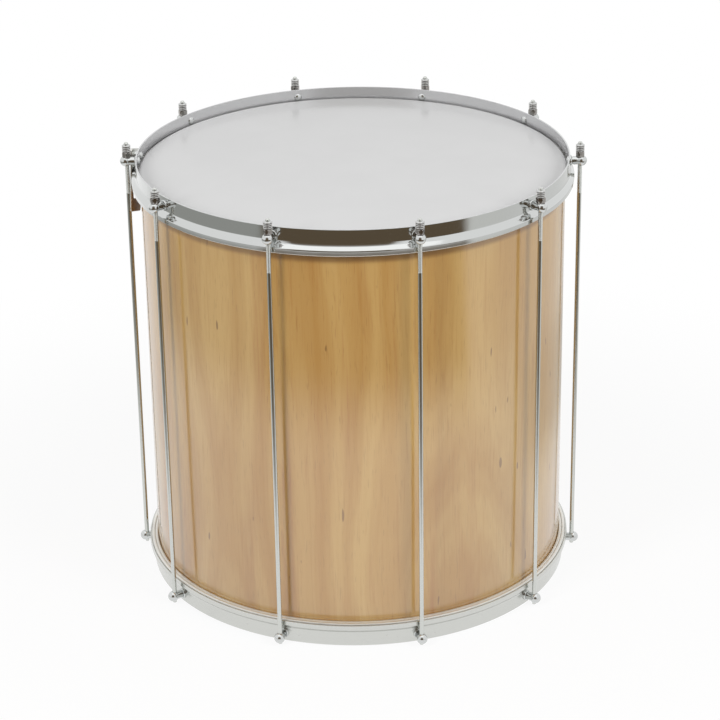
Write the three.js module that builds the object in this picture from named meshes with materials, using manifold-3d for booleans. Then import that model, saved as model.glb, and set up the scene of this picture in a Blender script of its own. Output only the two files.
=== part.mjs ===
// A wooden surdo: a plywood shell with a head at each end, held between two
// steel hoops by ten straight tension rods, with a strap bracket on one side.
// Millimetres, +Z up. The origin is on the drum's axis at the floor.
// An angle of zero looks out along -Y, and angles turn towards +X.
import * as THREE from 'three';
import { mergeVertices } from 'three/addons/utils/BufferGeometryUtils.js';
import Module from 'manifold-3d';

const wasm = await Module();
wasm.setup();

// Overall sizes
const shellDiameter = 454;
const overallHeight = 470;
const seatGap = 0.3;
const cutOverrun = 4;

// Shell and its inner reinforcement rings
const shellWall = 6;
const edgeChamfer = 2.4;
const edgeLand = 1.0;
const edgeRoundDepth = 1.6;
const ringWall = 5.4;
const ringHeight = 30;
const ringChamfer = 2;

// Heads: a thin film drawn over the shell's edge into a channel hoop
const filmThickness = 0.5;
const collarInset = 2.2;
const collarReach = 2.3;
const collarDepth = 3.9;
const filmLegLength = 5;
const fleshHoopInnerGap = 0.6;
const fleshHoopHeight = 11.7;

// Counterhoops: rolled sheet with a wall, a shoulder and a skirt
const sheetThickness = 1.5;
const hoopStand = 4.6;
const beadReach = 4.9;
const hoopHeight = 26;
const hoopWallHeight = 14.8;
const shoulderDepth = 4.9;
const rimStand = 12.1;

// Lugs: turned posts riveted through the hoop wall, with a bore for the rod
const lugInset = 9;
const lugFlangeRadius = 5.1;
const lugFlangeThickness = 1.3;
const lugWaistRadius = 4.6;
const lugWaistReach = 4;
const lugBallRadius = 5.8;
const lugBallOffset = 1.9;
const lugShankRadius = 2.4;
const lugHeadRadius = 4.4;
const lugHeadHeight = 2.3;
const spotFaceHeight = 4.4;

// Tension rods and their nuts
const rodStand = 5.8;
const rodDiameter = 4.8;
const rodChamfer = 0.6;
const rodTopStand = 13.2;
const rodFootRadius = 2.2;
const rodFootStand = 1.8;
const rodConeRadius = 3.3;
const rodConeInset = 1.5;
const rodConeHeight = 2.6;
const nutHeight = 14;
const nutAcrossFlats = 8.4;
const nutHexHeight = 6;
const nutBarrelRadius = 4.6;
const nutGrooveDepth = 0.7;
const nutChamfer = 1.1;

// Strap bracket: a flat plate that hangs from one bolt, held off the batter hoop
const bracketWidth = 40;
const bracketHeight = 68;
const bracketThickness = 1.8;
const bracketBeadGap = 0.4;
const bracketCornerRadius = 4;
const boltFrontInset = 11.5;
const boltTopInset = 7.5;
const slotWidth = 24;
const slotHeight = 8;
const slotFootInset = 18;
const boltShankRadius = 2;
const boltHeadRadius = 4;
const boltHeadHeight = 2.2;
const spacerRadius = 3.7;

// Counts and angles
const lugCount = 10;
const firstLugAngle = THREE.MathUtils.degToRad(15.65);
const bracketStepShare = 3 + 1 / 8;
const bracketTurn = THREE.MathUtils.degToRad(18.5);
const ringSegments = 40;
const turnedSegments = 8;
const barSegments = 8;
const edgeSteps = 2;
const collarSteps = 2;
const domeSteps = 2;
const nutRings = 4;
const hexSides = 6;
const nutCrestShare = 0.5;

// Outline points of the hoop's shoulder, as shares of its reach and depth
const shoulderShares = [[0, 0], [0.3, 0.16], [0.8, 0.5], [1, 1]];
const ballTurnShares = [1, 0.66, 0.33, 0];

// Values worked out from the sizes above
const shellRadius = shellDiameter / 2;
const shellInnerRadius = shellRadius - shellWall;
const filmSeat = filmThickness + seatGap;
const collarStart = shellRadius - collarInset;
const filmLegRadius = shellRadius + collarReach;
const hoopOuterRadius = shellRadius + hoopStand;
const beadOuterRadius = hoopOuterRadius + beadReach;
const rodCircleRadius = beadOuterRadius + rodStand;
const hoopInnerRadius = hoopOuterRadius - sheetThickness;
const rodRadius = rodDiameter / 2;
const boreRadius = rodRadius + seatGap;
const shankHoleRadius = lugShankRadius + seatGap;
const lugStep = 2 * Math.PI / lugCount;
const facetStep = 2 * Math.PI / ringSegments;
const facetShare = Math.cos(facetStep / 2);
const wallOutside = hoopOuterRadius * facetShare + seatGap;
const wallInside = hoopInnerRadius * facetShare - seatGap;
const lowerLugZ = lugInset;
const upperLugZ = overallHeight - lugInset;
const nutBaseZ = upperLugZ + spotFaceHeight + seatGap;
const lugAngles = Array.from({ length: lugCount }, (_, k) => firstLugAngle + k * lugStep);

// The two ends of the drum: a height above the playing face becomes a world height
const batterEnd = (height) => overallHeight - rimStand + height;
const bottomEnd = (height) => rimStand - height;

const chrome = { color: 0xc9cbca, metalness: 1, roughness: 0.12 };
const satinSteel = { color: 0xb9bab6, metalness: 1, roughness: 0.42 };
const finishes = {
  shell: { color: 0xc6a274, metalness: 0, roughness: 0.38 },
  ring: { color: 0xb8925f, metalness: 0, roughness: 0.6 },
  head: { color: 0xdcdcda, metalness: 0, roughness: 0.22 },
  fleshHoop: { color: 0xbfc0bd, metalness: 1, roughness: 0.35 },
  batterHoop: chrome,
  bottomHoop: satinSteel,
  lug: chrome,
  rod: chrome,
  nut: chrome,
  bracket: satinSteel,
};

const drum = new THREE.Group();
drum.name = 'surdo';

function addPart(parent, name, geometry, finish) {
  const mesh = new THREE.Mesh(geometry, new THREE.MeshStandardMaterial(finishes[finish]));
  mesh.name = name;
  parent.add(mesh);
  return mesh;
}

// A closed geometry with shared corners and no faces of zero area
function weld(geometry) {
  const bare = geometry.index ? geometry.toNonIndexed() : geometry.clone();
  bare.deleteAttribute('normal');
  bare.deleteAttribute('uv');
  const merged = mergeVertices(bare);
  const source = merged.index.array;
  const kept = [];
  for (let i = 0; i < source.length; i += 3) {
    const [a, b, c] = [source[i], source[i + 1], source[i + 2]];
    if (a !== b && b !== c && c !== a) {
      kept.push(a, b, c);
    }
  }
  merged.setIndex(kept);
  return merged;
}

function toSolid(geometry) {
  const welded = weld(geometry);
  return new wasm.Manifold(new wasm.Mesh({
    numProp: 3,
    vertProperties: new Float32Array(welded.attributes.position.array),
    triVerts: new Uint32Array(welded.index.array),
  }));
}

function fromSolid(solid) {
  const mesh = solid.getMesh();
  const geometry = new THREE.BufferGeometry();
  const corners = new THREE.BufferAttribute(new Float32Array(mesh.vertProperties), mesh.numProp);
  geometry.setAttribute('position', corners);
  geometry.setIndex(Array.from(mesh.triVerts));
  geometry.computeVertexNormals();
  return geometry;
}

// Twice the area inside an outline, positive when it runs anticlockwise
function turnOf(points) {
  return points.reduce((sum, [r, z], i) => {
    const [nextR, nextZ] = points[(i + 1) % points.length];
    return sum + r * nextZ - nextR * z;
  }, 0);
}

// Revolves an outline of [radius, height] pairs about Z
function revolve(outline, segments, startAngle = 0, closed = true) {
  const ordered = turnOf(outline) > 0 ? [...outline] : [...outline].reverse();
  if (closed) {
    ordered.push(ordered[0]);
  }
  const points = ordered.map(([r, z]) => new THREE.Vector2(r, z));
  const geometry = new THREE.LatheGeometry(points, segments, startAngle);
  geometry.rotateX(Math.PI / 2);
  return geometry;
}

// A large ring of the drum, its facets centred on the lugs
function revolveRing(outline, closed = true) {
  return weld(revolve(outline, ringSegments, firstLugAngle + facetStep / 2, closed));
}

// A line of points moved sideways, to the right of its run for a positive distance
function offsetLine(points, distance) {
  const sides = points.slice(1).map(([r, z], i) => {
    const [fromR, fromZ] = points[i];
    const length = Math.hypot(r - fromR, z - fromZ);
    return [(z - fromZ) / length, (fromR - r) / length];
  });
  return points.map(([r, z], i) => {
    const before = sides[Math.max(i - 1, 0)];
    const after = sides[Math.min(i, sides.length - 1)];
    const share = distance / (1 + before[0] * after[0] + before[1] * after[1]);
    return [r + (before[0] + after[0]) * share, z + (before[1] + after[1]) * share];
  });
}

// Quarter of an ellipse from a level start to an upright end
function quarterCurve(startR, startZ, reach, depth, steps) {
  return Array.from({ length: steps + 1 }, (_, i) => {
    const turn = i / steps * Math.PI / 2;
    return [startR + reach * Math.sin(turn), startZ - depth * (1 - Math.cos(turn))];
  });
}

const atEnd = (outline, end) => outline.map(([r, height]) => [r, end(height)]);

// Upright round bar between two heights, on the drum's rod circle at angle zero
function uprightBar(radiusTop, radiusFoot, footZ, topZ) {
  const bar = new THREE.CylinderGeometry(radiusTop, radiusFoot, topZ - footZ, barSegments);
  bar.rotateX(Math.PI / 2);
  bar.translate(0, -rodCircleRadius, (topZ + footZ) / 2);
  return bar;
}

// Bar that points out from the axis through a hoop wall
function radialBar(radius, height, angle) {
  const length = 2 * cutOverrun + 2 * sheetThickness;
  const bar = new THREE.CylinderGeometry(radius, radius, length, barSegments);
  bar.translate(0, sheetThickness / 2 - hoopOuterRadius, height);
  bar.rotateZ(angle);
  return bar;
}

// Shell: a tube whose two edges slope inwards and round outwards to carry the film
function shellGeometry() {
  const crown = [
    [shellInnerRadius, -filmSeat - edgeChamfer],
    [collarStart - edgeLand, -filmSeat],
    ...quarterCurve(collarStart, -filmSeat, collarInset, edgeRoundDepth, edgeSteps),
  ];
  const top = atEnd(crown, batterEnd);
  const foot = atEnd(crown, bottomEnd).reverse();
  return revolveRing([...top, ...foot]);
}

// Reinforcement ring glued inside one end of the shell
function ringGeometry(end) {
  const outer = shellInnerRadius - seatGap;
  const inner = outer - ringWall;
  const top = -filmSeat - edgeChamfer;
  const foot = top - ringHeight;
  return revolveRing(atEnd([
    [outer, top],
    [inner, top],
    [inner, foot + ringChamfer],
    [inner + ringChamfer, foot],
    [outer, foot],
  ], end));
}

// Outer face of the film, from the axis over the shell's edge into the channel
function filmLine() {
  const collar = quarterCurve(collarStart, 0, filmLegRadius - collarStart, collarDepth, collarSteps);
  return [[0, 0], ...collar, [filmLegRadius, -collarDepth - filmLegLength]];
}

function headGeometry(end) {
  const outside = filmLine();
  const inside = offsetLine(outside, filmThickness);
  return revolveRing(atEnd([...outside, ...inside.reverse()], end), false);
}

// Middle line of the counterhoop's sheet, from the rim down to the skirt
function hoopLine() {
  const wallMiddle = hoopOuterRadius - sheetThickness / 2;
  const foot = rimStand - hoopWallHeight;
  const shoulder = shoulderShares.map(([out, down]) => {
    return [wallMiddle + beadReach * out, foot - shoulderDepth * down];
  });
  return [[wallMiddle, rimStand], ...shoulder, [wallMiddle + beadReach, rimStand - hoopHeight]];
}

// Channel that grips the film's edge, shaped to the underside of the counterhoop
function fleshHoopGeometry(end) {
  const cover = offsetLine(hoopLine(), sheetThickness / 2 + seatGap).slice(2, -1);
  const top = cover[0][1];
  const foot = top - fleshHoopHeight;
  const inner = shellRadius + fleshHoopInnerGap;
  const slotInner = filmLegRadius - filmThickness - seatGap;
  const slotOuter = filmLegRadius + seatGap;
  const slotFoot = -collarDepth - filmLegLength - seatGap;
  return revolveRing(atEnd([
    [inner, top],
    [slotInner, top],
    [slotInner, slotFoot],
    [slotOuter, slotFoot],
    [slotOuter, top],
    ...cover,
    [cover[cover.length - 1][0], foot],
    [inner, foot],
  ], end));
}

function hoopGeometry(end, lugZ, extraHoles) {
  const middle = hoopLine();
  const outside = offsetLine(middle, -sheetThickness / 2);
  const inside = offsetLine(middle, sheetThickness / 2).reverse();
  const holes = lugAngles.map((angle) => radialBar(shankHoleRadius, lugZ, angle));
  const body = toSolid(revolveRing(atEnd([...outside, ...inside], end)));
  return fromSolid([...holes, ...extraHoles].reduce((solid, hole) => solid.subtract(toSolid(hole)), body));
}

// Domed head as outline points from its crown to its rim
function domeOutline(radius, crown, seat) {
  return Array.from({ length: domeSteps + 1 }, (_, i) => {
    const turn = i / domeSteps * Math.PI / 2;
    return [radius * Math.sin(turn), seat + (crown - seat) * Math.cos(turn)];
  });
}

// Lug blank turned about its own outward axis, at angle zero and height zero
function lugBlank() {
  const ballCentre = rodCircleRadius + lugBallOffset;
  const neckTurn = Math.asin(lugWaistRadius / lugBallRadius);
  const ballTurns = ballTurnShares.map((share) => share * (Math.PI - neckTurn));
  const outline = [
    ...domeOutline(lugHeadRadius, wallInside - lugHeadHeight, wallInside),
    [lugShankRadius, wallInside],
    [lugShankRadius, wallOutside],
    [lugFlangeRadius, wallOutside],
    [lugFlangeRadius, wallOutside + lugFlangeThickness],
    [lugWaistRadius, wallOutside + lugWaistReach],
    ...ballTurns.map((turn) => [lugBallRadius * Math.sin(turn), ballCentre + lugBallRadius * Math.cos(turn)]),
  ];
  const blank = revolve(outline, turnedSegments, 0, false);
  blank.rotateX(Math.PI / 2);
  return toSolid(blank);
}

function upperLugGeometry() {
  const bore = uprightBar(boreRadius, boreRadius, -lugBallRadius - cutOverrun, lugBallRadius + cutOverrun);
  const spotFace = uprightBar(lugBallRadius, lugBallRadius, spotFaceHeight, lugBallRadius + cutOverrun);
  return fromSolid(lugBlank().subtract(toSolid(bore)).subtract(toSolid(spotFace)));
}

// The rod's cone draws up into a sink in the lower lug
function lowerLugGeometry() {
  const bore = uprightBar(boreRadius, boreRadius, -lugBallRadius - cutOverrun, lugBallRadius + cutOverrun);
  const sinkTop = -rodConeInset;
  const sinkFoot = sinkTop - rodConeHeight;
  const sinkRadius = rodConeRadius + seatGap;
  const cone = uprightBar(boreRadius, sinkRadius, sinkFoot, sinkTop);
  const mouth = uprightBar(sinkRadius, sinkRadius, -lugBallRadius - cutOverrun, sinkFoot);
  return fromSolid([bore, cone, mouth].reduce((solid, cut) => solid.subtract(toSolid(cut)), lugBlank()));
}

function rodGeometry() {
  const coneTop = lowerLugZ - rodConeInset;
  const coneFoot = coneTop - rodConeHeight;
  const foot = lowerLugZ - lugBallRadius - rodFootStand;
  const top = overallHeight + rodTopStand;
  const rod = revolve([
    [0, foot],
    [rodFootRadius - rodChamfer, foot],
    [rodFootRadius, foot + rodChamfer],
    [rodFootRadius, coneFoot],
    [rodConeRadius, coneFoot],
    [rodRadius, coneTop],
    [rodRadius, top - rodChamfer],
    [rodRadius - rodChamfer, top],
    [0, top],
  ], barSegments, 0, false);
  rod.translate(0, -rodCircleRadius, 0);
  return rod;
}

// Nut: a hexagon below, a ringed barrel above, and a bore for the rod
function nutGeometry() {
  const cornerRadius = nutAcrossFlats / 2 / Math.cos(Math.PI / hexSides);
  const grooveRadius = nutBarrelRadius - nutGrooveDepth;
  const ringPitch = (nutHeight - nutHexHeight - nutChamfer) / nutRings;
  const rings = Array.from({ length: nutRings }, (_, i) => [
    [grooveRadius, nutHexHeight + i * ringPitch],
    [nutBarrelRadius, nutHexHeight + (i + nutCrestShare) * ringPitch],
  ]).flat();
  const barrel = revolve([
    [0, nutHexHeight - nutChamfer],
    [grooveRadius, nutHexHeight - nutChamfer],
    ...rings,
    [nutBarrelRadius - nutChamfer, nutHeight],
    [0, nutHeight],
  ], turnedSegments, 0, false);
  const chamferedBar = revolve([
    [0, 0],
    [nutAcrossFlats / 2 - nutChamfer / 3, 0],
    [cornerRadius, nutChamfer],
    [cornerRadius, nutHexHeight],
    [0, nutHexHeight],
  ], 2 * hexSides, 0, false);
  const hexagon = new THREE.CylinderGeometry(cornerRadius, cornerRadius, nutHexHeight, hexSides);
  hexagon.rotateX(Math.PI / 2);
  hexagon.translate(0, 0, nutHexHeight / 2);
  const bore = new THREE.CylinderGeometry(boreRadius, boreRadius, nutHeight + 2 * cutOverrun, barSegments);
  bore.rotateX(Math.PI / 2);
  bore.translate(0, 0, nutHeight / 2);
  const body = toSolid(hexagon).intersect(toSolid(chamferedBar)).add(toSolid(barrel));
  return fromSolid(body.subtract(toSolid(bore)));
}

// The bracket and its bolt are made at angle zero and turned to their place on the hoop
const bracketAngle = firstLugAngle - bracketStepShare * lugStep;
const bracketInside = beadOuterRadius + bracketBeadGap;
const spacerSeat = hoopOuterRadius + seatGap;

// Flat plate with its bolt hole at the origin and a slot for the strap near its foot
function bracketGeometry() {
  const front = boltFrontInset;
  const back = front - bracketWidth;
  const top = boltTopInset;
  const foot = top - bracketHeight;
  const corner = bracketCornerRadius;
  const outline = new THREE.Shape();
  outline.moveTo(front, foot + corner);
  outline.absarc(front - corner, top - corner, corner, 0, Math.PI / 2);
  outline.absarc(back + corner, top - corner, corner, Math.PI / 2, Math.PI);
  outline.absarc(back + corner, foot + corner, corner, Math.PI, 1.5 * Math.PI);
  outline.absarc(front - corner, foot + corner, corner, 1.5 * Math.PI, 2 * Math.PI);
  const hole = new THREE.Path();
  hole.absarc(0, 0, boltShankRadius + seatGap, 0, 2 * Math.PI);
  outline.holes = [hole, slotPath((front + back) / 2, foot + slotFootInset)];
  const plate = new THREE.ExtrudeGeometry(outline, {
    depth: bracketThickness,
    bevelEnabled: false,
    curveSegments: barSegments / 2,
  });
  plate.rotateX(Math.PI / 2);
  return weld(plate);
}

function slotPath(middle, height) {
  const end = slotHeight / 2;
  const reach = slotWidth / 2 - end;
  const path = new THREE.Path();
  path.absarc(middle + reach, height, end, -Math.PI / 2, Math.PI / 2);
  path.absarc(middle - reach, height, end, Math.PI / 2, 1.5 * Math.PI);
  path.closePath();
  return path;
}

// Bolt with a dome inside the hoop's wall and another outside the plate
function boltGeometry() {
  const outerSeat = bracketInside + bracketThickness + seatGap;
  const innerSeat = hoopInnerRadius - boltHeadRadius * Math.tan(facetStep / 2) - seatGap;
  const bolt = revolve([
    ...domeOutline(boltHeadRadius, innerSeat - boltHeadHeight, innerSeat),
    [boltShankRadius, innerSeat],
    [boltShankRadius, outerSeat],
    ...domeOutline(boltHeadRadius, outerSeat + boltHeadHeight, outerSeat).reverse(),
  ], turnedSegments, 0, false);
  bolt.rotateX(Math.PI / 2);
  return bolt;
}

// Sleeve on the bolt that keeps the plate clear of the hoop's skirt
function spacerGeometry() {
  const bore = boltShankRadius + seatGap;
  const far = bracketInside - seatGap;
  const sleeve = revolve([
    [bore, spacerSeat],
    [spacerRadius, spacerSeat],
    [spacerRadius, far],
    [bore, far],
  ], turnedSegments);
  sleeve.rotateX(Math.PI / 2);
  return sleeve;
}

function addEnd(prefix, end, lugZ, hoopFinish, extraHoles) {
  addPart(drum, `${prefix}_reinforcement_ring`, ringGeometry(end), 'ring');
  addPart(drum, `${prefix}_head`, headGeometry(end), 'head');
  addPart(drum, `${prefix}_flesh_hoop`, fleshHoopGeometry(end), 'fleshHoop');
  addPart(drum, `${prefix}_hoop`, hoopGeometry(end, lugZ, extraHoles), hoopFinish);
}

addPart(drum, 'shell', shellGeometry(), 'shell');
const boltHole = radialBar(boltShankRadius + seatGap, upperLugZ, bracketAngle);
addEnd('batter', batterEnd, upperLugZ, 'batterHoop', [boltHole]);
addEnd('bottom', bottomEnd, lowerLugZ, 'bottomHoop', []);

const pieces = [
  ['upper_lug', upperLugGeometry(), 'lug', [0, 0, upperLugZ]],
  ['lower_lug', lowerLugGeometry(), 'lug', [0, 0, lowerLugZ]],
  ['tension_rod', rodGeometry(), 'rod', [0, 0, 0]],
  ['tension_nut', nutGeometry(), 'nut', [0, -rodCircleRadius, nutBaseZ]],
];
lugAngles.forEach((angle, k) => {
  const station = new THREE.Group();
  station.rotation.z = angle;
  pieces.forEach(([name, geometry, finish, place]) => {
    addPart(station, `${name}_${k + 1}`, geometry, finish).position.set(...place);
  });
  drum.add(station);
});

const bracketStation = new THREE.Group();
bracketStation.rotation.z = bracketAngle;
bracketStation.position.z = upperLugZ;
addPart(bracketStation, 'strap_bracket_bolt', boltGeometry(), 'lug');
addPart(bracketStation, 'strap_bracket_spacer', spacerGeometry(), 'lug');
const plate = addPart(bracketStation, 'strap_bracket', bracketGeometry(), 'bracket');
plate.position.y = -bracketInside;
plate.rotation.y = -bracketTurn;
drum.add(bracketStation);

export default drum;
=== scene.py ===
import math

import bmesh
import bpy
from mathutils import Matrix, Vector


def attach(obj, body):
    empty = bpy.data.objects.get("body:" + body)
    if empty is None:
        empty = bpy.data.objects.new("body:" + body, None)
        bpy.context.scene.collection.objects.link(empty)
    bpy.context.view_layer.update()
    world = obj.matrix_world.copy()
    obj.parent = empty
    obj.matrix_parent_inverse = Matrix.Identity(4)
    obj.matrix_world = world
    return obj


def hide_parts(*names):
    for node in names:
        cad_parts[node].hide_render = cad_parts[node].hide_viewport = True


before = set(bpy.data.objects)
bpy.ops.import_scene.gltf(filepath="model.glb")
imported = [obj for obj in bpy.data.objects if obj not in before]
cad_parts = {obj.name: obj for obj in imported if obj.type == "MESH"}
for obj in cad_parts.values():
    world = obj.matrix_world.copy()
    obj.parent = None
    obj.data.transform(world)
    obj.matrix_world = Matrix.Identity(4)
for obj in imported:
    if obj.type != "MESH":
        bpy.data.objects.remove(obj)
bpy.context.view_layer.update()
print("frame loaded:", len(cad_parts), "nodes")

mm = 0.001
drumBody = "drum"
hoopBody = "batter_hoop_assembly"
plateBody = "strap_plate"

layout = {                      # millimetres and degrees
    "height": 470.0,            # rim to rim
    "rimStand": 12.1,           # rim above the head inside it
    "shellRadius": 227.0,
    "rodCircle": 242.3,
    "lugInset": 9.0,            # lug axis below the rim
    "stations": 10,
    "firstStation": 15.65,      # from the front, towards the right
    "plateStep": 3.125,         # stations from the first lug back to the strap plate
    "seam": 0.05,               # left open between pieces that meet
}
stationStep = 2 * math.pi / layout["stations"]
firstAngle = math.radians(layout["firstStation"])
plateAngle = firstAngle - layout["plateStep"] * stationStep
upperLugZ = layout["height"] - layout["lugInset"]


# Nodes

class Sock:
    def __init__(self, maker, socket):
        self.maker = maker
        self.socket = socket

    def joined(self, operation, first, second):
        kinds = [v.socket.type for v in (first, second) if isinstance(v, Sock)]
        if all(kind in ("VALUE", "INT", "BOOLEAN") for kind in kinds):
            return self.maker.maths(operation, first, second)
        pair = [(v, v, v) if isinstance(v, (int, float)) else v for v in (first, second)]
        return self.maker.node("ShaderNodeVectorMath", {"operation": operation}, pair)

    def __add__(self, other):
        return self.joined("ADD", self, other)

    def __radd__(self, other):
        return self.joined("ADD", other, self)

    def __sub__(self, other):
        return self.joined("SUBTRACT", self, other)

    def __rsub__(self, other):
        return self.joined("SUBTRACT", other, self)

    def __mul__(self, other):
        return self.joined("MULTIPLY", self, other)

    def __truediv__(self, other):
        return self.joined("DIVIDE", self, other)


class Maker:
    def __init__(self, tree):
        self.tree = tree

    def node(self, kind, settings=None, inputs=None, output=0):
        made = self.tree.nodes.new(kind)
        for name, value in (settings or {}).items():
            setattr(made, name, value)
        pairs = inputs.items() if isinstance(inputs, dict) else enumerate(inputs or [])
        for key, value in pairs:
            if isinstance(value, Sock):
                self.tree.links.new(value.socket, made.inputs[key])
            else:
                made.inputs[key].default_value = value
        return Sock(self, made.outputs[output]) if made.outputs else None

    def maths(self, operation, *values):
        return self.node("ShaderNodeMath", {"operation": operation}, values)

    def spread(self, value, low, high):
        # eased from 0 at low to 1 at high, whichever of them is the greater
        inputs = {"Value": value, "From Min": low, "From Max": high}
        return self.node("ShaderNodeMapRange", {"interpolation_type": "SMOOTHSTEP"}, inputs)

    def blend(self, factor, first, second):
        inputs = {0: factor, 6: first, 7: second}
        return self.node("ShaderNodeMix", {"data_type": "RGBA"}, inputs, 2)

    def noise(self, place, scale, detail, rough, stretch=(1, 1, 1)):
        moved = self.node("ShaderNodeMapping", None, {"Vector": place, "Scale": stretch})
        inputs = {"Vector": moved, "Scale": scale, "Detail": detail, "Roughness": rough}
        return self.node("ShaderNodeTexNoise", None, inputs)

    def noises(self, place, kinds):
        return [self.noise(place, *kind) for kind in kinds.values()]

    def apart(self, vector, axis):
        return self.node("ShaderNodeSeparateXYZ", None, [vector], axis)

    def fromAxis(self, x, y):
        return self.maths("SQRT", x * x + y * y)


def linear(red, green, blue):
    parts = [c / 255 for c in (red, green, blue)]
    return tuple(c / 12.92 if c <= 0.04045 else ((c + 0.055) / 1.055) ** 2.4 for c in parts) + (1.0,)


def newMaterial(name, fixed):
    material = bpy.data.materials.new(name)
    material.use_nodes = True
    tree = material.node_tree
    maker = Maker(tree)
    shader = tree.nodes["Principled BSDF"]
    for socket, value in fixed.items():
        shader.inputs[socket].default_value = value
    place = maker.node("ShaderNodeTexCoord", output="Object")
    return material, maker, shader, place


def mixedMaterial(name, mixed):
    # a material of two shaders, which the function mixed makes from the maker and the place
    material, maker, shader, place = newMaterial(name, {})
    both = maker.node("ShaderNodeMixShader", None, mixed(maker, place))
    nodes = maker.tree.nodes
    maker.tree.links.new(both.socket, nodes["Material Output"].inputs["Surface"])
    nodes.remove(shader)
    return material


def feed(maker, shader, **links):
    for socket, value in links.items():
        maker.tree.links.new(value.socket, shader.inputs[socket.replace("_", " ")])


def relief(maker, height, distance, strength):
    inputs = {"Height": height, "Distance": distance, "Strength": strength}
    return maker.node("ShaderNodeBump", None, inputs)


# Finishes; each noise has its scale, detail, roughness and stretch

veneerLook = {
    "pale": linear(184, 150, 90),
    "warm": linear(163, 121, 60),
    "streak": linear(144, 89, 37),
    "fleckAndShade": linear(88, 52, 24),
    "drift": (7.0, 2.0, 0.5, (1, 1, 0.5)),
    "sway": 0.014,          # metres that the drift moves the figure
    "rings": 13.0,          # growth bands across the figure
    "ringWobble": 0.35,
    "lines": 4.0,           # fine lines to a band
    "lineWobble": 9.0,
    "paintedShade": 0.6,            # painted shade of the hoop, darkening the wood right under it
    "paintedShadeFoot": 0.4308,
    "paintedShadeTop": 0.4366,
    "noises": {
        "field": (4.6, 1.5, 0.35, (1, 1, 0.24)),
        "wobble": (60.0, 2.0, 0.5, (1, 1, 0.08)),
        "broad": (8.0, 2.0, 0.5, (1, 1, 0.3)),
        "figure": (30.0, 4.0, 0.6, (1, 1, 0.05)),
        "grain": (420.0, 3.0, 0.65, (1, 1, 0.03)),
        "pores": (900.0, 1.0, 0.5, (1, 1, 0.06)),
        "flecks": (160.0, 0.0, 0.0, (1, 1, 0.28)),
    },
    "fades": {              # where each noise starts to show and where it is full
        "broad": (0.36, 0.64),
        "strong": (0.5, 0.38),
        "figure": (0.54, 0.7),
        "grain": (0.48, 0.8),
        "pores": (0.62, 0.74),
        "flecks": (0.82, 0.86),
    },
    "shares": {"bands": 0.45, "lines": 0.12, "broad": 0.4, "figure": 0.18, "strong": 0.4,
               "grain": 0.34, "pores": 0.2, "flecks": 0.6},
    "dull": 0.38,
    "grainDull": 0.12,
    "poreRelief": 0.6,
    "relief": (0.00006, 0.6),   # metres and strength
}


def veneerMaterial(name, look):
    # rotary cut veneer: growth bands cut into long flowing loops, under a clear lacquer
    fixed = {"IOR": 1.4, "Coat Weight": 1.0, "Coat Roughness": 0.1, "Coat IOR": 2.04}
    material, maker, shader, place = newMaterial(name, fixed)
    swayed = place + maker.noise(place, *look["drift"]) * look["sway"]
    field, wobble, broad, figure, grain, pores, flecks = maker.noises(swayed, look["noises"])
    fades, shares = look["fades"], look["shares"]
    turns = (field * look["rings"] + wobble * look["ringWobble"]) * (2 * math.pi)
    bands = maker.maths("SINE", turns) * 0.5 + 0.5
    lines = maker.maths("SINE", turns * look["lines"] + wobble * look["lineWobble"]) * 0.5 + 0.5
    light = (bands * shares["bands"] + lines * shares["lines"]
             + maker.spread(broad, *fades["broad"]) * shares["broad"])
    strong = maker.spread(broad, *fades["strong"]) * shares["strong"]
    # painted shade under the batter hoop: the wood darkens towards the top of the shell, in the tone of the
    # flecks
    paintedShade = maker.spread(maker.apart(place, 2), look["paintedShadeFoot"], look["paintedShadeTop"])
    layers = [
        (maker.spread(figure, *fades["figure"]) * (shares["figure"] + strong), "streak"),
        (maker.spread(grain, *fades["grain"]) * shares["grain"], "streak"),
        (maker.spread(pores, *fades["pores"]) * shares["pores"], "fleckAndShade"),
        (maker.spread(flecks, *fades["flecks"]) * shares["flecks"], "fleckAndShade"),
        (paintedShade * look["paintedShade"], "fleckAndShade"),
    ]
    colour = maker.blend(light, look["warm"], look["pale"])
    for amount, tone in layers:
        colour = maker.blend(amount, colour, look[tone])
    feed(maker, shader, Base_Color=colour, Roughness=look["dull"] + grain * look["grainDull"],
         Normal=relief(maker, grain + pores * look["poreRelief"], *look["relief"]))
    return material


filmLook = {
    "tone": linear(215, 215, 215),
    "shade": linear(213, 213, 213),
    "noises": {"cloud": (14.0, 3.0, 0.5), "smudge": (70.0, 4.0, 0.7)},
    "cloudFade": (0.35, 0.65),
    "dull": 0.16,
    "smudgeDull": 0.06,
    "relief": (0.0002, 0.2),
}


def filmMaterial(name, look):
    material, maker, shader, place = newMaterial(name, {"IOR": 1.5})
    cloud, smudge = maker.noises(place, look["noises"])
    colour = maker.blend(maker.spread(cloud, *look["cloudFade"]), look["tone"], look["shade"])
    feed(maker, shader, Base_Color=colour, Roughness=look["dull"] + smudge * look["smudgeDull"],
         Normal=relief(maker, cloud, *look["relief"]))
    return material


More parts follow.
